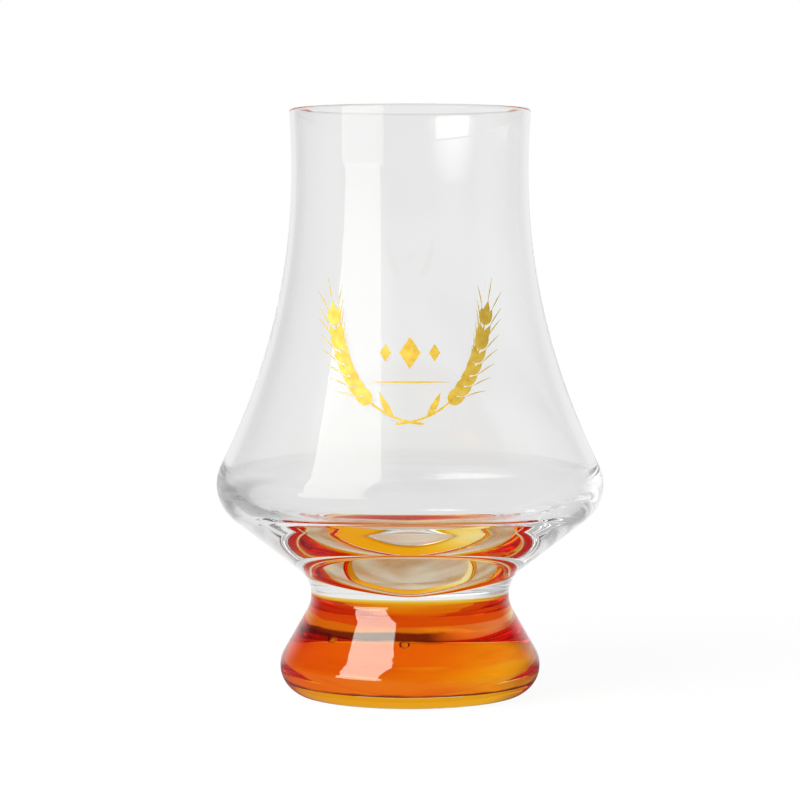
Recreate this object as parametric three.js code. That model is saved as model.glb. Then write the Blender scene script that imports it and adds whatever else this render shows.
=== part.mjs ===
// Whisky tasting glass: a clear bowl on a solid clear foot, with the foot cased in a thin amber skin.
// Millimetres, +Z up. The origin is the middle of the ring that the glass rests on.
import * as THREE from 'three';

// Heights of the outside, each from the ring below it
const NECK_RISE = 19.3; // table to the narrowest ring
const BELLY_RISE = 21.8; // narrowest ring to the widest
const WAIST_RISE = 61.4; // widest ring to the waist below the lip
const RIM_RISE = 12.0; // waist to the rim

// Diameters of the outside
const FOOT_DIAMETER = 51.2;
const NECK_DIAMETER = 39.0;
const BELLY_DIAMETER = 76.0;
const WAIST_DIAMETER = 46.4;
const RIM_DIAMETER = 47.2;

// Rounds of the outside, and how far the flank leans from upright where it meets the belly
const FOOT_ROUND = 5.9;
const NECK_ROUND = 6.5;
const BELLY_ROUND = 8.6;
const FLARE_LEAST = 2.0; // straight stretch that stays between the rounds of the neck and the foot
const FLANK_LEAN = 26.4; // degrees

// Inside of the bowl
const LIP_WALL = 1.25;
const BELLY_WALL = 2.3;
const CAVITY_LIFT = 1.0; // widest ring of the inside above that of the outside
const CAVITY_ROUND = 6.5;
const WELL_DIAMETER = 10.4; // where the cone of the inside meets the level of its floor
const FLOOR_RISE = 2.0; // floor of the well above the neck

// Resting ring, and the hollow inside it
const RING_INSET = 3.4; // outer edge of the ring in from the widest part of the foot
const RING_WIDTH = 2.8;
const HOLLOW_DEPTH = 4.1;
const HOLLOW_TURN = 3.1; // how far in from the ring the hollow's side turns over into its level roof

// Amber skin on the outside of the foot, feathered to a thin edge just above the neck and blunt below
const SKIN_WALL = 0.6;
const SKIN_EDGE = 0.12;
const SKIN_FEATHER = 2.0;
const SKIN_RISE = 0.2; // top edge above the neck
const SKIN_LIFT = 2.6; // bottom edge above the table
const BOND_GAP = 0.05; // all round between the skin and the clear glass

// Facets
const FACETS_AROUND = 48;
const FLANK_STEPS = 9;
const FLARE_STEPS = 3;
const LIP_STEPS = 6;
const ROUND_STEP = 15; // degrees of turn in one facet of the other rounds
const WELL_STEPS = 7;
const HOLLOW_STEPS = 5;

// Heights and rings that follow
const neckHeight = NECK_RISE;
const bellyHeight = neckHeight + BELLY_RISE;
const waistHeight = bellyHeight + WAIST_RISE;
const rimHeight = waistHeight + RIM_RISE;
const floorHeight = neckHeight + FLOOR_RISE;
const lipHeight = rimHeight - LIP_WALL / 2;
const ringRadius = FOOT_DIAMETER / 2 - RING_INSET;
const hollowRadius = ringRadius - RING_WIDTH;

const point = (radius, height) => new THREE.Vector2(radius, height);
const degrees = THREE.MathUtils.radToDeg;
const radians = THREE.MathUtils.degToRad;

// A point on a circle, at an angle in degrees from straight outwards
function onCircle(circle, angle) {
  const turn = radians(angle);
  return point(
    circle.centre.x + circle.radius * Math.cos(turn),
    circle.centre.y + circle.radius * Math.sin(turn),
  );
}

// The same circle with another radius
function offset(circle, growth) {
  return { centre: circle.centre, radius: circle.radius + growth };
}

// Points along a circle from one angle to another
function arc(circle, from, to, steps = Math.ceil(Math.abs(to - from) / ROUND_STEP)) {
  return Array.from({ length: steps + 1 }, (_, i) => onCircle(circle, from + ((to - from) * i) / steps));
}

// Points along a quadratic curve
function curve(start, control, end, steps) {
  return new THREE.QuadraticBezierCurve(start, control, end).getPoints(steps);
}

// Angle at which a straight line leaves one circle to cross over and touch another, on the given side
function crossTangent(first, second, side) {
  const across = second.centre.clone().sub(first.centre);
  const half = Math.acos((first.radius + second.radius) / across.length());
  return degrees(across.angle()) + side * degrees(half);
}

// Angle at which the foot's round meets the table, and the height of the foot's widest ring
const ringAngle = -degrees(Math.acos((FOOT_ROUND - RING_INSET) / FOOT_ROUND));
const footHeight = -FOOT_ROUND * Math.sin(radians(ringAngle));

// The neck's round, held small enough to leave the straight flare down to the foot's edge
function neckRound() {
  const flareOut = (FOOT_DIAMETER - NECK_DIAMETER) / 2;
  const flareUp = neckHeight - footHeight;
  const room = (flareOut ** 2 + flareUp ** 2 - FLARE_LEAST ** 2) / (2 * flareOut) - FOOT_ROUND;
  return Math.min(NECK_ROUND, room);
}

// Circles that the outside is drawn with
const foot = { centre: point(FOOT_DIAMETER / 2 - FOOT_ROUND, footHeight), radius: FOOT_ROUND };
const neck = { centre: point(NECK_DIAMETER / 2 + neckRound(), neckHeight), radius: neckRound() };
const belly = { centre: point(BELLY_DIAMETER / 2 - BELLY_ROUND, bellyHeight), radius: BELLY_ROUND };
const underAngle = crossTangent(belly, neck, 1) - 360;
const flareAngle = crossTangent(foot, neck, -1);

// Circle of the inside's widest ring, and the angle at which the cone down to the well leaves it
const cavity = {
  centre: point(BELLY_DIAMETER / 2 - BELLY_WALL - CAVITY_ROUND, bellyHeight + CAVITY_LIFT),
  radius: CAVITY_ROUND,
};
const well = point(WELL_DIAMETER / 2, floorHeight);
const toCavity = cavity.centre.clone().sub(well);
const coneSlope = degrees(toCavity.angle() - Math.asin(cavity.radius / toCavity.length()));
const coneAngle = coneSlope - 90;

// Where the skin's top edge and the end of its feather lie on the neck's circle
const skinTopAngle = 180 - degrees(Math.asin(SKIN_RISE / neck.radius));
const topBondAngle = degrees(BOND_GAP / neck.radius);
const featherAngle = skinTopAngle + degrees(SKIN_FEATHER / neck.radius);

// Where its bottom edge lies on the foot's circle
const skinLowAngle = -degrees(Math.asin((footHeight - SKIN_LIFT) / foot.radius));
const lowBondAngle = degrees(BOND_GAP / foot.radius);

// Lip down to the belly, outside or inside
function flank(rimRadius, waistRadius, circle) {
  const touch = onCircle(circle, FLANK_LEAN);
  const reach = (touch.x - waistRadius) / Math.tan(radians(FLANK_LEAN));
  const waist = point(waistRadius, waistHeight);
  const flare = point(waistRadius, (lipHeight + waistHeight) / 2);
  return [
    ...curve(point(rimRadius, lipHeight), flare, waist, FLARE_STEPS),
    ...curve(waist, point(waistRadius, touch.y + reach), touch, FLANK_STEPS).slice(1),
  ];
}

// Neck down to an angle on the foot's round, drawn in from the outside by a depth
function footOutline(depth, fromAngle, toAngle) {
  return [
    ...arc(offset(neck, depth), fromAngle, flareAngle + 180),
    ...arc(offset(foot, -depth), flareAngle, toAngle),
  ];
}

// Axis at the well's floor, up the inside and over the lip, down the outside, and back under the foot
function clearOutline() {
  const inside = [
    ...flank(RIM_DIAMETER / 2 - LIP_WALL, WAIST_DIAMETER / 2 - LIP_WALL, cavity),
    ...arc(cavity, FLANK_LEAN, coneAngle).slice(1),
    ...curve(onCircle(cavity, coneAngle), well, point(0, floorHeight), WELL_STEPS).slice(1),
  ];
  const lip = { centre: point((RIM_DIAMETER - LIP_WALL) / 2, lipHeight), radius: LIP_WALL / 2 };
  const bowl = [
    ...flank(RIM_DIAMETER / 2, WAIST_DIAMETER / 2, belly),
    ...arc(belly, FLANK_LEAN, underAngle).slice(1),
    ...arc(neck, underAngle + 180, skinTopAngle),
  ];
  const coreLow = skinLowAngle - lowBondAngle;
  const core = footOutline(SKIN_WALL + BOND_GAP, featherAngle, coreLow);
  const roof = point(hollowRadius - HOLLOW_TURN, HOLLOW_DEPTH);
  const hollow = curve(point(hollowRadius, 0), roof, point(0, HOLLOW_DEPTH), HOLLOW_STEPS);
  return [
    ...inside.reverse(),
    ...arc(lip, 180, 0, LIP_STEPS).slice(1, -1),
    ...bowl,
    onCircle(offset(neck, SKIN_EDGE + BOND_GAP), skinTopAngle),
    ...core,
    ...arc(foot, coreLow, ringAngle).slice(0, -1),
    point(ringRadius, 0),
    ...hollow,
  ];
}

// Down the outside of the foot and back up against the clear glass
function skinOutline() {
  const top = skinTopAngle + topBondAngle;
  const outside = footOutline(0, top, skinLowAngle);
  const inside = footOutline(SKIN_WALL, featherAngle, skinLowAngle).reverse();
  return [...outside, ...inside, onCircle(offset(neck, SKIN_EDGE), top), outside[0].clone()];
}

// An outline that runs down the outside, turned round the upright axis with its faces outwards
function turned(name, outline, material) {
  const geometry = new THREE.LatheGeometry([...outline].reverse(), FACETS_AROUND);
  const mesh = new THREE.Mesh(geometry, material);
  mesh.name = name;
  mesh.rotation.x = Math.PI / 2;
  return mesh;
}

const clearGlass = new THREE.MeshStandardMaterial({
  name: 'clear_glass',
  color: 0xf1f3f2,
  roughness: 0.04,
  metalness: 0,
  transparent: true,
  opacity: 0.35,
});
const amberGlass = new THREE.MeshStandardMaterial({
  name: 'amber_glass',
  color: 0xe4760a,
  roughness: 0.08,
  metalness: 0,
  transparent: true,
  opacity: 0.8,
});

const glass = new THREE.Group();
glass.add(turned('clear_glass_body', clearOutline(), clearGlass));
glass.add(turned('amber_foot_skin', skinOutline(), amberGlass));

export default glass;
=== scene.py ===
# Whisky tasting glass: a clear bowl on a solid foot with an amber skin, and a gold print on the front.
import math

import bmesh
import bpy
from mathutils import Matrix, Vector


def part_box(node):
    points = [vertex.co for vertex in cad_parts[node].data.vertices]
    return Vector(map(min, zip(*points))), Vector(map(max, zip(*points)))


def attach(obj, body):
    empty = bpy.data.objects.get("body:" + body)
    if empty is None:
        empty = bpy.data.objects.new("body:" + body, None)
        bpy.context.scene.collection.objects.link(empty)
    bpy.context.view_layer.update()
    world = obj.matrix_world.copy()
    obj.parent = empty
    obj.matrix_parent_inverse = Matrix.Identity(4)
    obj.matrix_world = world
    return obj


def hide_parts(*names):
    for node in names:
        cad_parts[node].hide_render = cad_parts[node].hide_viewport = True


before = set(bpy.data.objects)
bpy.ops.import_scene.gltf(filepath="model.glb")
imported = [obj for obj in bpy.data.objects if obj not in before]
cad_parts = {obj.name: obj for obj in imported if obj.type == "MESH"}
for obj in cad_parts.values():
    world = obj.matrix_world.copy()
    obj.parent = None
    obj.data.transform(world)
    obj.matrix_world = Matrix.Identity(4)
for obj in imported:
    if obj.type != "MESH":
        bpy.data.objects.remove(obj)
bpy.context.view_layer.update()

MM = 0.001
BODY = "clear_glass_body"
SKIN = "amber_foot_skin"
body_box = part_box(BODY)
skin_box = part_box(SKIN)

# Millimetres from here on. Sizes of the outside, taken from the solids where their boxes give them
RIM_HEIGHT = body_box[1].z / MM
BELLY_RADIUS = body_box[1].x / MM
FOOT_RADIUS = skin_box[1].x / MM
SKIN_TOP = skin_box[1].z / MM
SKIN_LOW = skin_box[0].z / MM
NECK_HEIGHT = 19.3
BELLY_HEIGHT = 41.1
WAIST_HEIGHT = 102.5
NECK_RADIUS = 19.5
WAIST_RADIUS = 23.2
RIM_RADIUS = 23.6
FOOT_ROUND = 5.9
NECK_ROUND = 6.5
BELLY_ROUND = 8.6
FLANK_LEAN = 26.4  # degrees from upright, where the flank meets the belly

# Inside of the bowl, resting ring with the hollow inside it, and skin
LIP_WALL = 1.25
BELLY_WALL = 2.3
CAVITY_LIFT = 1.0
CAVITY_ROUND = 6.5
WELL_RADIUS = 5.2
FLOOR_HEIGHT = 21.3
RING_INSET = 3.4
RING_WIDTH = 2.8
HOLLOW_DEPTH = 4.1
HOLLOW_TURN = 3.1
SKIN_WALL = 0.6
SKIN_EDGE = 0.12
SKIN_FEATHER = 2.0
BOND_GAP = 0.05

# Fineness of the turned surfaces
SEGMENTS = 256
CURVE_STEPS = 64
ARC_STEP = 2.5  # degrees
SHARP = math.radians(35)

# The skin thins to this share of its depth towards the right, so that it looks more yellow there
THIN_RIGHT = 0.18
THIN_EDGE = (0.0, 0.9)  # cosines of the angles round the foot where it starts and stops to thin

# Gas bubbles left in the foot: across, height, how far in front of the axis, and radius
BUBBLES = [(-14.4, 11.9, 14.6, 0.95), (-1.0, 11.8, 20.4, 0.95)]
BUBBLE_WIDE = 1.12  # drawn out across
BUBBLE_TALL = 0.95
BUBBLE_ROWS = 12
BUBBLE_AROUND = 20
SAME_POINT = 1e-5
ON_AXIS = 1e-6


def on_circle(circle, angle):
    turn = math.radians(angle)
    return circle[0] + circle[2] * math.cos(turn), circle[1] + circle[2] * math.sin(turn)


def angles(start, end):
    steps = max(2, math.ceil(abs(end - start) / ARC_STEP))
    return [start + (end - start) * i / steps for i in range(steps + 1)]


def arc(circle, start, end):
    return [on_circle(circle, angle) for angle in angles(start, end)]


def curve(start, control, end, steps=CURVE_STEPS):
    points = []
    for i in range(steps + 1):
        t = i / steps
        points.append(tuple(
            (1 - t) ** 2 * start[k] + 2 * t * (1 - t) * control[k] + t * t * end[k] for k in (0, 1)))
    return points


def grown(circle, growth):
    return circle[0], circle[1], circle[2] + growth


def cross_tangent(first, second, side):
    across, up = second[0] - first[0], second[1] - first[1]
    half = math.acos((first[2] + second[2]) / math.hypot(across, up))
    return math.degrees(math.atan2(up, across) + side * half)


ring_angle = -math.degrees(math.acos((FOOT_ROUND - RING_INSET) / FOOT_ROUND))
foot_height = -FOOT_ROUND * math.sin(math.radians(ring_angle))
foot = (FOOT_RADIUS - FOOT_ROUND, foot_height, FOOT_ROUND)
neck = (NECK_RADIUS + NECK_ROUND, NECK_HEIGHT, NECK_ROUND)
belly = (BELLY_RADIUS - BELLY_ROUND, BELLY_HEIGHT, BELLY_ROUND)
cavity = (BELLY_RADIUS - BELLY_WALL - CAVITY_ROUND, BELLY_HEIGHT + CAVITY_LIFT, CAVITY_ROUND)
lip_height = RIM_HEIGHT - LIP_WALL / 2
under_angle = cross_tangent(belly, neck, 1)
flare_angle = cross_tangent(foot, neck, -1)
skin_top_angle = 180 - math.degrees(math.asin((SKIN_TOP - NECK_HEIGHT) / NECK_ROUND))
feather_angle = skin_top_angle + math.degrees(SKIN_FEATHER / NECK_ROUND)
top_bond_angle = math.degrees(BOND_GAP / NECK_ROUND)
skin_low_angle = -math.degrees(math.asin((foot_height - SKIN_LOW) / FOOT_ROUND))
low_bond_angle = math.degrees(BOND_GAP / FOOT_ROUND)


def flank(rim_radius, waist_radius, circle):
    touch = on_circle(circle, FLANK_LEAN)
    reach = (touch[0] - waist_radius) / math.tan(math.radians(FLANK_LEAN))
    waist = (waist_radius, WAIST_HEIGHT)
    flare = (waist_radius, (lip_height + WAIST_HEIGHT) / 2)
    lip = curve((rim_radius, lip_height), flare, waist, CURVE_STEPS // 3)
    return lip + curve(waist, (waist_radius, touch[1] + reach), touch)


def smooth(value, low, high):
    t = min(1.0, max(0.0, (value - low) / (high - low)))
    return t * t * (3 - 2 * t)


def skin_depth(turn):
    """Depth of the skin at an angle round the foot."""
    return SKIN_WALL * (1 - (1 - THIN_RIGHT) * smooth(math.cos(turn), *THIN_EDGE))


def foot_outline(depth, from_angle, to_angle):
    """Neck down to an angle on the foot's round, drawn in from the outside by a depth."""
    above = arc(grown(neck, depth), from_angle, flare_angle + 180)
    return above + arc(grown(foot, -depth), flare_angle, to_angle)


def well_outline():
    across, up = cavity[0] - WELL_RADIUS, cavity[1] - FLOOR_HEIGHT
    slope = math.degrees(math.atan2(up, across) - math.asin(CAVITY_ROUND / math.hypot(across, up)))
    corner = arc(cavity, FLANK_LEAN, slope - 90)
    return corner + curve(corner[-1], (WELL_RADIUS, FLOOR_HEIGHT), (0.0, FLOOR_HEIGHT))


def hollow_outline():
    edge = FOOT_RADIUS - RING_INSET - RING_WIDTH
    return curve((edge, 0.0), (edge - HOLLOW_TURN, HOLLOW_DEPTH), (0.0, HOLLOW_DEPTH))


outside = flank(RIM_RADIUS, WAIST_RADIUS, belly)


def body_strips(turn):
    inside = flank(RIM_RADIUS - LIP_WALL, WAIST_RADIUS - LIP_WALL, cavity) + well_outline()
    lip = (RIM_RADIUS - LIP_WALL / 2, lip_height, LIP_WALL / 2)
    bowl = outside + arc(belly, FLANK_LEAN, under_angle) + arc(neck, under_angle + 180, skin_top_angle)
    low = skin_low_angle - low_bond_angle
    bonded = [on_circle(grown(neck, SKIN_EDGE + BOND_GAP), skin_top_angle)]
    bonded += foot_outline(skin_depth(turn) + BOND_GAP, feather_angle, low) + [on_circle(foot, low)]
    under = arc(foot, low, ring_angle) + hollow_outline()
    return [(inside[::-1] + arc(lip, 180, 0) + bowl, 0), (bonded, 1), (under, 0)]


def skin_strips(turn):
    top = skin_top_angle + top_bond_angle
    bare = foot_outline(0, top, skin_low_angle)
    bonded = foot_outline(skin_depth(turn), feather_angle, skin_low_angle)[::-1]
    bonded += [on_circle(grown(neck, SKIN_EDGE), top), bare[0]]
    return [(bare, 0), (bonded, 1)]


def joined(strips):
    """One outline from several strips, and for each stretch of it the mark of its strip."""
    points, marks = [], []
    for strip, mark in strips:
        for p in strip:
            if points and math.dist(p, points[-1]) < SAME_POINT:
                continue
            if points:
                marks.append(mark)
            points.append(p)
    return points, marks


def turned(strips_at):
    """A closed mesh from an outline for each angle round the axis. Faces against other glass are marked 1."""
    turns = [2 * math.pi * k / SEGMENTS for k in range(SEGMENTS)]
    outlines = [joined(strips_at(t))[0] for t in turns]
    first, marks = joined(strips_at(0.0))
    loop = math.dist(first[0], first[-1]) < SAME_POINT
    rings, verts = [], []
    for i in range(len(first) - loop):
        around = 1 if first[i][0] < ON_AXIS else SEGMENTS
        rings.append(range(len(verts), len(verts) + around))
        for k in range(around):
            radius, height = outlines[k][i]
            across, back = radius * math.cos(turns[k]), radius * math.sin(turns[k])
            verts.append((across * MM, back * MM, height * MM))
    if loop:
        rings.append(rings[0])
    faces, bonded = [], []
    for low, high, mark in zip(rings, rings[1:], marks):
        for k in range(SEGMENTS):
            n = k + 1
            corners = [low[k % len(low)], high[k % len(high)], high[n % len(high)], low[n % len(low)]]
            faces.append(list(dict.fromkeys(corners)))
            bonded.append(mark)
    return verts, faces, bonded


def finished(name, mesh, node=None):
    """The piece made from a mesh, with its place in the frame."""
    mesh.set_sharp_from_angle(angle=SHARP)
    piece = bpy.data.objects.new(name, mesh)
    bpy.context.scene.collection.objects.link(piece)
    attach(piece, "root")
    if node:
        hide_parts(node)
    return piece


def glass_mesh(name, verts, faces, bonded):
    mesh = bpy.data.meshes.new(name)
    mesh.from_pydata(verts, [], faces)
    mesh.shade_smooth()
    marks = mesh.attributes.new("bonded", "FLOAT", "FACE")
    marks.data.foreach_set("value", [float(mark) for mark in bonded])
    return mesh


def add_bubbles(verts, faces, bonded):
    """Small hollows inside the glass, a little wider than tall, with their faces turned inwards."""
    for across, height, depth, radius in BUBBLES:
        rings = []
        for i in range(BUBBLE_ROWS + 1):
            rise = math.pi * i / BUBBLE_ROWS
            around = 1 if i in (0, BUBBLE_ROWS) else BUBBLE_AROUND
            rings.append(range(len(verts), len(verts) + around))
            out = math.sin(rise) * radius
            up = BUBBLE_TALL * radius * math.cos(rise)
            for k in range(around):
                turn = 2 * math.pi * k / BUBBLE_AROUND
                side = across + BUBBLE_WIDE * out * math.cos(turn)
                verts.append((side * MM, (out * math.sin(turn) - depth) * MM, (height + up) * MM))
        for high, low in zip(rings, rings[1:]):
            for k in range(BUBBLE_AROUND):
                n = k + 1
                corners = [high[k % len(high)], high[n % len(high)], low[n % len(low)], low[k % len(low)]]
                faces.append(list(dict.fromkeys(corners)))
                bonded.append(0)


# Materials. Waves are per metre along X, Y and Z, and depths and sizes in metres
OFF_TO_ON = (0.0, 1.0)
GLASS_INDEX = 1.517
CLOUD_WAVES = (90, 90, 90)
CLOUDS = [(0.3, (0.985, 0.99, 0.985)), (0.7, (0.995, 1.0, 0.995))]
RIPPLE_WAVES = (60, 60, 240)
RIPPLE_DEPTH = 0.00012
AMBER_COLOUR = (0.9937, 0.833, 0.04, 1)
AMBER_DENSITY = 8000.0
GOLD_WAVES = (700, 700, 700)
GOLDS = [(0.3, (0.38, 0.245, 0.026)), (0.7, (0.49, 0.34, 0.055))]
GOLD_SHINE_WAVES = (1500, 1500, 1500)
GOLD_ROUGHNESS = (0.35, 0.5)
GOLD_SPECULAR = 0.12
GOLD_GRAIN_WAVES = (2500, 2500, 2500)
GOLD_GRAIN_DEPTH = 0.00001


def feed(tree, value, socket):
    """A node's input taken from another node, or set to a number or a colour."""
    if isinstance(value, bpy.types.NodeSocket):
        tree.links.new(value, socket)
    else:
        socket.default_value = value


def new_material(name):
    material = bpy.data.materials.new(name)
    material.use_nodes = True
    tree = material.node_tree
    return material, tree, tree.nodes["Principled BSDF"]


def noise(tree, waves, detail=2.0):
    """A noise value by place on the object."""
    place = tree.nodes.new("ShaderNodeTexCoord")
    stretch = tree.nodes.new("ShaderNodeVectorMath")
    stretch.operation = "MULTIPLY"
    stretch.inputs[1].default_value = waves
    node = tree.nodes.new("ShaderNodeTexNoise")
    node.inputs["Scale"].default_value = 1.0
    node.inputs["Detail"].default_value = detail
    tree.links.new(place.outputs["Object"], stretch.inputs[0])
    tree.links.new(stretch.outputs[0], node.inputs["Vector"])
    return node.outputs["Fac"]


def ranged(tree, value, low, high):
    node = tree.nodes.new("ShaderNodeMapRange")
    node.inputs["To Min"].default_value = low
    node.inputs["To Max"].default_value = high
    tree.links.new(value, node.inputs["Value"])
    return node.outputs["Result"]


def step(tree, value, edges, levels):
    """A value that turns smoothly from the first level to the second between two edges."""
    node = tree.nodes.new("ShaderNodeMapRange")
    node.interpolation_type = "SMOOTHSTEP"
    tree.links.new(value, node.inputs["Value"])
    for name, number in zip(("From Min", "From Max", "To Min", "To Max"), (*edges, *levels)):
        feed(tree, number, node.inputs[name])
    return node.outputs["Result"]


def vector_math(tree, operation, value, other=None):
    node = tree.nodes.new("ShaderNodeVectorMath")
    node.operation = operation
    tree.links.new(value, node.inputs[0])
    if other:
        node.inputs[1].default_value = other
    return node


def ramp(tree, value, stops):
    """A colour that goes over from stop to stop, each a value and a colour."""
    node = tree.nodes.new("ShaderNodeValToRGB")
    elements = node.color_ramp.elements
    while len(elements) < len(stops):
        elements.new(0.5)
    for element, (position, colour) in zip(elements, stops):
        element.position = position
        element.color = (*colour, 1)
    tree.links.new(value, node.inputs["Fac"])
    return node.outputs["Color"]


def mixed(tree, share, first, second, blend="MIX"):
    """The first colour giving way to the second by a share, or multiplied by it."""
    node = tree.nodes.new("ShaderNodeMixRGB")
    node.blend_type = blend
    tree.links.new(share, node.inputs["Fac"])
    for colour, name in ((first, "Color1"), (second, "Color2")):
        feed(tree, (*colour, 1) if isinstance(colour, tuple) else colour, node.inputs[name])
    return node.outputs["Color"]


def bumped(tree, shader, value, distance):
    node = tree.nodes.new("ShaderNodeBump")
    node.inputs["Strength"].default_value = 1.0
    node.inputs["Distance"].default_value = distance
    tree.links.new(value, node.inputs["Height"])
    tree.links.new(node.outputs["Normal"], shader.inputs["Normal"])


# Tints of what the glass mirrors on its outside
CLEAR_MIRROR = (0.25, 0.25, 0.25)
AMBER_MIRROR = (0.75, 0.98, 0.93)


def glass(name, mirror):
    """Clear glass with the trace of cloudiness that its melt leaves."""
    material, tree, shader = new_material(name)
    tree.links.new(ramp(tree, noise(tree, CLOUD_WAVES), CLOUDS), shader.inputs["Base Color"])
    shader.inputs["Roughness"].default_value = 0.0
    shader.inputs["Transmission Weight"].default_value = 1.0
    shader.inputs["IOR"].default_value = GLASS_INDEX
    inside = tree.nodes.new("ShaderNodeNewGeometry").outputs["Backfacing"]
    tree.links.new(mixed(tree, inside, mirror, (1, 1, 1)), shader.inputs["Specular Tint"])
    return material, tree, shader


def bond_material():
    """Nothing to see where the clear glass lies against the skin."""
    material, tree, shader = new_material("clear_bond")
    tree.nodes.remove(shader)
    through = tree.nodes.new("ShaderNodeBsdfTransparent")
    tree.links.new(through.outputs[0], tree.nodes["Material Output"].inputs["Surface"])
    return material


# Painted shade in rings on the amber foot, by height in millimetres: left of the middle and right of it
PLAIN = (1, 1, 1)
DEEP = (0.98, 0.5, 0.5)
WARM = (0.85, 0.2, 0.1)
HOT = (0.9, 0.08, 0.04)
RED = (0.97, 0.1, 0.05)
DARK = (0.05, 0.002, 0.005)
LOW_SHADE_RING = [(0.0, DARK), (2.8, DARK), (3.2, PLAIN)]
HIGH_LEFT_SHADE = [(14.6, WARM), (17.0, WARM), (17.8, PLAIN)]
HIGH_RIGHT_SHADE = [(14.6, HOT), (17.0, HOT), (17.8, PLAIN)]
MIDDLE_SHADE = [(6.0, PLAIN), (8.5, DEEP), (12.4, DEEP)]
LEFT_SHADE_RINGS = LOW_SHADE_RING + MIDDLE_SHADE + [(12.9, DARK), (14.2, DARK)] + HIGH_LEFT_SHADE
RIGHT_SHADE_RINGS = LOW_SHADE_RING + MIDDLE_SHADE + [(12.9, RED), (14.2, RED)] + HIGH_RIGHT_SHADE
RING_SPAN = 20.0
RING_WANDER = 1.4
RING_WAVES = (110, 110, 500)
RING_TURN = (0.003, 0.012)  # metres across, where the left rings give way to the right ones
RING_FRONT = (-0.010, 0.0)  # metres back, where the rings of the front end
STREAK = (0.85, 0.25, 0.2)
STREAK_WAVES = (45, 45, 260)
STREAK_DETAIL = 3.0
STREAK_EDGE = (0.48, 0.68)
STREAK_SHARE = (0.0, 0.6)


def rings(tree):
    """Painted shade in uneven rings round the front of the foot, tinting the amber, with streaks in it."""
    apart = tree.nodes.new("ShaderNodeSeparateXYZ")
    tree.links.new(tree.nodes.new("ShaderNodeTexCoord").outputs["Object"], apart.inputs[0])
    height = tree.nodes.new("ShaderNodeMath")
    height.operation = "MULTIPLY_ADD"
    height.inputs[1].default_value = 1 / (RING_SPAN * MM)
    wander = RING_WANDER / RING_SPAN
    tree.links.new(apart.outputs["Z"], height.inputs[0])
    drift = ranged(tree, noise(tree, RING_WAVES), -wander / 2, wander / 2)
    tree.links.new(drift, height.inputs[2])
    sides = []
    for stops in (LEFT_SHADE_RINGS, RIGHT_SHADE_RINGS):
        shares = [(rise / RING_SPAN, tint) for rise, tint in stops]
        sides.append(ramp(tree, height.outputs[0], shares))
    tint = mixed(tree, step(tree, apart.outputs["X"], RING_TURN, OFF_TO_ON), *sides)
    streaks = step(tree, noise(tree, STREAK_WAVES, STREAK_DETAIL), STREAK_EDGE, STREAK_SHARE)
    tint = mixed(tree, streaks, tint, STREAK, "MULTIPLY")
    # The painted shade is kept to the front, towards the camera; behind it the glass is plain
    return mixed(tree, step(tree, apart.outputs["Y"], RING_FRONT, OFF_TO_ON), tint, PLAIN)


def amber_material():
    """Amber glass outside, nothing to see where it lies against the clear glass, and colour in its depth."""
    material, tree, shader = glass("amber_glass", AMBER_MIRROR)
    # Its colour is painted shade in rings on the front of the foot
    tree.links.new(rings(tree), shader.inputs["Base Color"])
    bumped(tree, shader, noise(tree, RIPPLE_WAVES, 1.0), RIPPLE_DEPTH)
    mix = tree.nodes.new("ShaderNodeMixShader")
    through = tree.nodes.new("ShaderNodeBsdfTransparent")
    bonded = tree.nodes.new("ShaderNodeAttribute")
    bonded.attribute_name = "bonded"
    tree.links.new(bonded.outputs["Fac"], mix.inputs[0])
    tree.links.new(shader.outputs[0], mix.inputs[1])
    tree.links.new(through.outputs[0], mix.inputs[2])
    tree.links.new(mix.outputs[0], tree.nodes["Material Output"].inputs["Surface"])
    depth = tree.nodes.new("ShaderNodeVolumeAbsorption")
    depth.inputs["Color"].default_value = AMBER_COLOUR
    depth.inputs["Density"].default_value = AMBER_DENSITY
    tree.links.new(depth.outputs[0], tree.nodes["Material Output"].inputs["Volume"])
    return material


def gold_material():
    material, tree, shader = new_material("gold_print")
    tree.links.new(ramp(tree, noise(tree, GOLD_WAVES), GOLDS), shader.inputs["Base Color"])
    tree.links.new(ranged(tree, noise(tree, GOLD_SHINE_WAVES), *GOLD_ROUGHNESS), shader.inputs["Roughness"])
    shader.inputs["Specular IOR Level"].default_value = GOLD_SPECULAR
    bumped(tree, shader, noise(tree, GOLD_GRAIN_WAVES), GOLD_GRAIN_DEPTH)
    return material


# Gold print in millimetres and radians: two barley ears in an open wreath, three lozenges and a fine rule
PRINT_LOW = 55.0
PRINT_LIFT = 0.01
PRINT_WALL = 0.05
PRINT_ACROSS = (1.0, 0.5, 0.0, -0.5, -1.0)  # places across a strip, so that it follows the bowl's round
POINT_WIDTH = 0.06
STEM_START = (-2.6, 0.0)  # across on the ear's own side, and above the print's lower end
STEM_BEND = (11.5, 1.0)
STEM_END = (14.88, 19.0)
STEM_WIDTH = (0.45, 0.25)
EAR_STEPS = 36
LEAF_STEPS = 10
LEAF_FULLNESS = 0.8  # below 1 the widest place lies nearer the base
GRAINS = 8
GRAIN_SPAN = (0.42, 0.98)  # shares of the stem between which the grains sit
GRAIN_SPREAD = 0.55
GRAIN_BEND = 0.35
GRAIN_SIZE = (3.4, 1.5)
TOP_GRAIN_SIZE = (3.6, 1.5)
AWN_SPREAD = 0.10
AWN_BEND = 0.25
AWN_SIZE = (4.2, 0.20)
TOP_AWN_SIZE = (4.4, 0.20)
AWN_POINT = 0.08
BLADE_PLACE = 0.22
BLADE_SIZE = (5.2, 1.2)
BLADE_HEADING = (0.9, 1.0)
BLADE_BEND = 0.4
LOZENGE_RISE = 13.0
LOZENGES = [(0.0, 4.0, 6.0), (-4.6, 2.2, 3.2), (4.6, 2.2, 3.2)]  # across, width and height
LOZENGE_STEPS = 8
RULE_RISE = 7.6
RULE_LENGTH = 15.0
RULE_WIDTH = 0.36
RULE_STEPS = 16


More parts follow.
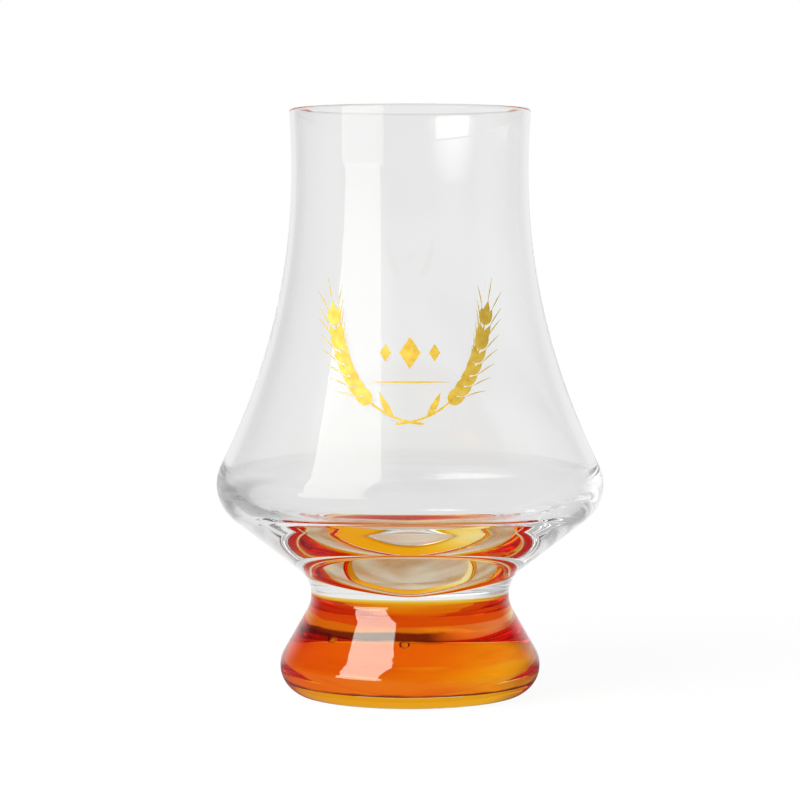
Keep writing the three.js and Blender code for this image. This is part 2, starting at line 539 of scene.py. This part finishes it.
def outside_radius(height):
    for (r0, z0), (r1, z1) in zip(outside, outside[1:]):
        if z1 <= height <= z0 and z0 > z1:
            return r1 + (r0 - r1) * (height - z1) / (z0 - z1)
    return WAIST_RADIUS


def on_front(across, height, lift):
    """A point on the front of the bowl, so far round from the middle and so high."""
    radius = outside_radius(height)
    turn = across / radius
    out = radius + lift
    return Vector((out * math.sin(turn), -out * math.cos(turn), height)) * MM


def ribbon(bm, line, widths):
    """A thin closed strip of print along a line, as wide at each point as its widths say."""
    rows = []
    for i, point in enumerate(line):
        before, after = line[max(i - 1, 0)], line[min(i + 1, len(line) - 1)]
        along = math.atan2(after[1] - before[1], after[0] - before[0])
        side = (-math.sin(along) * widths[i] / 2, math.cos(along) * widths[i] / 2)
        corners = [(s, PRINT_LIFT) for s in PRINT_ACROSS]
        corners += [(s, PRINT_LIFT + PRINT_WALL) for s in PRINT_ACROSS[::-1]]
        rows.append([])
        for s, lift in corners:
            place = on_front(point[0] + s * side[0], point[1] + s * side[1], lift)
            rows[-1].append(bm.verts.new(place))
    for a, b in zip(rows, rows[1:]):
        for k in range(len(a)):
            n = (k + 1) % len(a)
            bm.faces.new((a[k], b[k], b[n], a[n]))
    bm.faces.new(rows[0])
    bm.faces.new(rows[-1][::-1])


def leaf(bm, base, angle, size, bend=0.0, tip=POINT_WIDTH):
    """A pointed shape from a base point, of a length and width. Returns its end and its heading there."""
    length, width = size
    line, widths = [base], [tip]
    for i in range(1, LEAF_STEPS + 1):
        t = i / LEAF_STEPS
        turn = angle + bend * t
        stride = length / LEAF_STEPS
        last = line[-1]
        line.append((last[0] + math.cos(turn) * stride, last[1] + math.sin(turn) * stride))
        widths.append(max(tip, width * math.sin(math.pi * t ** LEAF_FULLNESS)))
    ribbon(bm, line, widths)
    return line[-1], angle + bend


def ear(side):
    """One ear with its stem, on the side given by -1 or 1."""
    bm = bmesh.new()
    corners = [(x * side, PRINT_LOW + y) for x, y in (STEM_START, STEM_BEND, STEM_END)]
    stem = curve(*corners, EAR_STEPS)
    thin = (STEM_WIDTH[0] - STEM_WIDTH[1]) / EAR_STEPS
    ribbon(bm, stem, [STEM_WIDTH[0] - thin * i for i in range(EAR_STEPS + 1)])
    first, last = GRAIN_SPAN
    for g in range(GRAINS):
        i = round(EAR_STEPS * (first + (last - first) * g / (GRAINS - 1)))
        before, point = stem[i - 1], stem[i]
        along = math.atan2(point[1] - before[1], point[0] - before[0])
        for turn in (-1, 1):
            tip, heading = leaf(bm, point, along + turn * GRAIN_SPREAD, GRAIN_SIZE, -turn * GRAIN_BEND)
            leaf(bm, tip, heading + turn * AWN_SPREAD, AWN_SIZE, turn * AWN_BEND, AWN_POINT)
    tip, heading = leaf(bm, stem[-1], along, TOP_GRAIN_SIZE)
    leaf(bm, tip, heading, TOP_AWN_SIZE, tip=AWN_POINT)
    heading = math.atan2(BLADE_HEADING[1], BLADE_HEADING[0] * side)
    leaf(bm, stem[round(EAR_STEPS * BLADE_PLACE)], heading, BLADE_SIZE, BLADE_BEND * side)
    return bm


def centre():
    """Three lozenges, the middle one largest, over a fine rule."""
    bm = bmesh.new()
    shares = [2 * i / LOZENGE_STEPS - 1 for i in range(LOZENGE_STEPS + 1)]
    for across, width, tall in LOZENGES:
        line = [(across, PRINT_LOW + LOZENGE_RISE + share * tall / 2) for share in shares]
        ribbon(bm, line, [max(POINT_WIDTH, width * (1 - abs(share))) for share in shares])
    shares = [i / RULE_STEPS for i in range(RULE_STEPS + 1)]
    line = [(RULE_LENGTH * (share - 0.5), PRINT_LOW + RULE_RISE) for share in shares]
    swell = RULE_WIDTH - POINT_WIDTH
    ribbon(bm, line, [POINT_WIDTH + swell * math.sin(math.pi * share) for share in shares])
    return bm


body_parts = turned(body_strips)
add_bubbles(*body_parts)
bowl = finished("clear_bowl_and_foot", glass_mesh("clear_bowl_and_foot", *body_parts), BODY)
bowl.data.materials.append(glass("clear_glass", CLEAR_MIRROR)[0])
bowl.data.materials.append(bond_material())
for face, mark in zip(bowl.data.polygons, bowl.data.attributes["bonded"].data):
    face.material_index = round(mark.value)

casing = finished("amber_casing", glass_mesh("amber_casing", *turned(skin_strips)), SKIN)
casing.data.materials.append(amber_material())

gold = gold_material()
prints = (("gold_ear_left", ear(-1)), ("gold_ear_right", ear(1)), ("gold_lozenges", centre()))
for name, bm in prints:
    bmesh.ops.recalc_face_normals(bm, faces=bm.faces)
    mesh = bpy.data.meshes.new(name)
    bm.to_mesh(mesh)
    bm.free()
    finished(name, mesh).data.materials.append(gold)


# Studio, in metres. Edges are where one level or colour gives way to the next
FLOOR_SIZE = 8.0
FLOOR_DROP = 0.0001
FLOOR_COLOUR = (0.85, 0.85, 0.85, 1)
FLOOR_WAVES = (40, 40, 40)
FLOOR_ROUGHNESS = (0.55, 0.7)
FLOOR_MIRRORED = 0.85  # share of its own light that the floor shows where a surface mirrors it
FLOOR_THROUGH = (0.85, 1.0)  # the same through the glass, under the foot and beside it
FLOOR_SEEN = (0.92, 1.0)  # the same to the camera, near the glass and away from it
SHADOW_EDGE = (0.02, 0.2)
SCREEN_EDGE = (0.3, 0.8)  # where the floor seen through the glass goes over into the screen
FLOOR_LEVEL = 0.79
# Painted amber light on the floor under the foot, seen through the glass
UNDER_FOOT_PAINTED_LIGHT_WAVES = (45, 110, 45)
UNDER_FOOT_PAINTED_LIGHT = [(0.36, (0.68, 0.38, 0.15)), (0.62, (0.88, 0.77, 0.57))]
LEFT_SHADE_LEVEL = 0.38  # painted shade on the floor beside the glass on the left, seen through the glass
LEFT_SHADE_EDGE = (-0.06, -0.03)
LEFT_SHADE_REACH = (0.12, 0.16)
FOOT_EDGE = (0.024, 0.034)  # where the painted light under the foot gives way to the white floor
BACK_LEVEL = 0.87
SIDE_LEVEL = 0.52
FRONT_LEVEL = 0.34
FRONT_EDGE = (-0.7, 0.0)
MIRRORED_LEVEL = 0.06
MIRRORED_EDGE = (0.55, 0.95)
BACKDROP_TURN = math.radians(35)
BACKDROP_EDGE = 0.1
BACKDROP_FULL = 0.50
WINDOW_EDGE = (0.80, 0.97)
WINDOW_LEVEL = 1.7
WINDOW_MIRRORED = 5.0  # in the far wall of the bowl, seen through the near one
SOFTBOX_SIZE = (0.7, 0.9)
SOFTBOX_AWAY = 0.9
SOFTBOX_TURN = math.radians(46)
SOFTBOX_HEIGHT = 0.52
SOFTBOX_POWER = 19.0
LAMP_COLOUR = (1.0, 1.0, 0.95)
SKIRT_HEIGHT = 0.06
SKIRT_POWER = 2.0
BOUNCES = 128  # light runs up inside the wall of the bowl to the rim
ONCE = (1.0, 2.0)  # counts of mirrorings between which a path stops showing the window so bright
TWO_WALLS = (3.0, 4.0)  # counts of surfaces passed through
CAMERA_AWAY = 0.550
CAMERA_HEIGHT = 0.0905
CAMERA_DROP = 0.033  # how far below its own height the camera looks, at the glass's axis
CAMERA_SENSOR = 36  # millimetres
CAMERA_LENS = 126.1
CAMERA_SHIFT = -0.0125  # share of the picture's width


def softbox_place(turn, away, height):
    """A place in front of the glass, turned to the left by an angle."""
    return Vector((-away * math.sin(turn), -away * math.cos(turn), height))


def backdrop(tree, direction, window_level):
    """How bright the studio is in a direction: a wide screen behind the glass, dim sides and a dark front."""
    middle = (math.sin(BACKDROP_TURN), math.cos(BACKDROP_TURN), 0)
    back = vector_math(tree, "DOT_PRODUCT", direction, (0, 1, 0)).outputs["Value"]
    screen = vector_math(tree, "DOT_PRODUCT", direction, middle).outputs["Value"]
    dim = step(tree, back, FRONT_EDGE, (FRONT_LEVEL, SIDE_LEVEL))
    aim = softbox_place(SOFTBOX_TURN, SOFTBOX_AWAY, SOFTBOX_HEIGHT).normalized()
    window = vector_math(tree, "DOT_PRODUCT", direction, aim).outputs["Value"]
    front = step(tree, window, WINDOW_EDGE, (dim, window_level))
    return step(tree, screen, (BACKDROP_EDGE, BACKDROP_FULL), (front, BACK_LEVEL))


def mirrored(tree, direction):
    """How bright the studio is where a surface mirrors it: dim in front and bright at a glancing angle."""
    back = vector_math(tree, "DOT_PRODUCT", direction, (0, 1, 0)).outputs["Value"]
    return step(tree, back, MIRRORED_EDGE, (MIRRORED_LEVEL, BACK_LEVEL))


def painted_light_under_foot(tree, away):
    """Painted light on the floor seen through the glass: warm and uneven under the foot, where light comes
    through the amber, and white beside it.
    """
    painted_amber_light = ramp(tree, noise(tree, UNDER_FOOT_PAINTED_LIGHT_WAVES), UNDER_FOOT_PAINTED_LIGHT)
    return mixed(tree, step(tree, away, FOOT_EDGE, OFF_TO_ON), painted_amber_light, (1, 1, 1))


def glowing(tree, surface, ray, share, level, colour=None):
    """A surface that gives way, by a share, to light of its own where one kind of ray sees it."""
    light = tree.nodes.new("ShaderNodeEmission")
    if colour:
        tree.links.new(colour, light.inputs["Color"])
    feed(tree, level, light.inputs["Strength"])
    path = tree.nodes.new("ShaderNodeLightPath")
    part = tree.nodes.new("ShaderNodeMath")
    part.operation = "MULTIPLY"
    tree.links.new(path.outputs[ray], part.inputs[0])
    feed(tree, share, part.inputs[1])
    mix = tree.nodes.new("ShaderNodeMixShader")
    tree.links.new(part.outputs[0], mix.inputs[0])
    tree.links.new(surface, mix.inputs[1])
    tree.links.new(light.outputs[0], mix.inputs[2])
    return mix.outputs[0]


def floor():
    """A white floor that keeps the glass's shadow. Through the glass it goes over into the screen behind,
    with painted amber light under the foot and painted shade to the left of the glass.
    """
    mesh = bpy.data.meshes.new("floor")
    half = FLOOR_SIZE / 2
    corners = [(-half, -half), (half, -half), (half, half), (-half, half)]
    mesh.from_pydata([(x, y, -FLOOR_DROP) for x, y in corners], [], [(0, 1, 2, 3)])
    plane = bpy.data.objects.new("floor", mesh)
    bpy.context.scene.collection.objects.link(plane)
    material, tree, shader = new_material("floor")
    shader.inputs["Base Color"].default_value = FLOOR_COLOUR
    tree.links.new(ranged(tree, noise(tree, FLOOR_WAVES), *FLOOR_ROUGHNESS), shader.inputs["Roughness"])
    place = tree.nodes.new("ShaderNodeTexCoord").outputs["Object"]
    away = vector_math(tree, "LENGTH", place).outputs["Value"]
    heading = vector_math(tree, "NORMALIZE", place).outputs["Vector"]
    apart = tree.nodes.new("ShaderNodeSeparateXYZ")
    tree.links.new(place, apart.inputs[0])
    # Painted shade on the floor to the left of the glass and near it
    left_shade = step(tree, apart.outputs["X"], LEFT_SHADE_EDGE, (LEFT_SHADE_LEVEL, FLOOR_LEVEL))
    near = step(tree, away, LEFT_SHADE_REACH, (left_shade, FLOOR_LEVEL))
    screen = step(tree, away, SCREEN_EDGE, (near, backdrop(tree, heading, WINDOW_LEVEL)))
    through = step(tree, away, FOOT_EDGE, FLOOR_THROUGH)
    seen = step(tree, away, SHADOW_EDGE, FLOOR_SEEN)
    surface = shader.outputs[0]
    surface = glowing(tree, surface, "Is Glossy Ray", FLOOR_MIRRORED, mirrored(tree, heading))
    # Through the glass: the screen, painted light under the foot and painted shade on the left
    surface = glowing(tree, surface, "Is Transmission Ray", through, screen, painted_light_under_foot(tree, away))
    surface = glowing(tree, surface, "Is Camera Ray", seen, 1.0)
    tree.links.new(surface, tree.nodes["Material Output"].inputs["Surface"])
    mesh.materials.append(material)


def surroundings():
    """The studio round the glass, white to the camera itself and dim where a surface mirrors it."""
    world = bpy.data.worlds.new("studio")
    bpy.context.scene.world = world
    world.use_nodes = True
    tree = world.node_tree
    direction = tree.nodes.new("ShaderNodeTexCoord").outputs["Generated"]
    path = tree.nodes.new("ShaderNodeLightPath")
    passed, bounced = path.outputs["Transmission Depth"], path.outputs["Glossy Depth"]
    far_wall = step(tree, passed, TWO_WALLS, (WINDOW_LEVEL, WINDOW_MIRRORED))
    window = step(tree, bounced, ONCE, (far_wall, WINDOW_LEVEL))
    screen = backdrop(tree, direction, window)
    dim = mirrored(tree, direction)
    level = screen
    for ray, seen in (("Is Glossy Ray", dim), ("Is Transmission Ray", screen), ("Is Camera Ray", 1.0)):
        level = step(tree, path.outputs[ray], OFF_TO_ON, (level, seen))
    tree.links.new(level, tree.nodes["Background"].inputs["Color"])


def softbox(name, size, turn, away, height, power):
    lamp = bpy.data.lights.new(name, "AREA")
    lamp.shape = "RECTANGLE"
    lamp.size, lamp.size_y = size
    lamp.energy = power
    lamp.color = LAMP_COLOUR
    box = bpy.data.objects.new(name, lamp)
    box.visible_transmission = False
    bpy.context.scene.collection.objects.link(box)
    box.location = softbox_place(turn, away, height)
    aim = Vector((0, 0, RIM_HEIGHT * MM / 2)) - box.location
    box.rotation_euler = aim.to_track_quat("-Z", "Y").to_euler()


def camera():
    data = bpy.data.cameras.new("camera")
    view = bpy.data.objects.new("camera", data)
    bpy.context.scene.collection.objects.link(view)
    bpy.context.scene.camera = view
    view.location = (0, -CAMERA_AWAY, CAMERA_HEIGHT)
    view.rotation_euler = (math.pi / 2 - math.atan2(CAMERA_DROP, CAMERA_AWAY), 0, 0)
    data.sensor_width = CAMERA_SENSOR
    data.lens = CAMERA_LENS
    data.shift_x = CAMERA_SHIFT


floor()
surroundings()
softbox("softbox", SOFTBOX_SIZE, SOFTBOX_TURN, SOFTBOX_AWAY, SOFTBOX_HEIGHT, SOFTBOX_POWER)
skirt_size = (SOFTBOX_SIZE[0], 2 * SKIRT_HEIGHT)
softbox("skirt", skirt_size, SOFTBOX_TURN, SOFTBOX_AWAY, SKIRT_HEIGHT, SKIRT_POWER)
camera()
scene = bpy.context.scene
scene.view_settings.view_transform = "Standard"
scene.cycles.max_bounces = BOUNCES
scene.cycles.glossy_bounces = BOUNCES
scene.cycles.transmission_bounces = BOUNCES
scene.cycles.transparent_max_bounces = BOUNCES
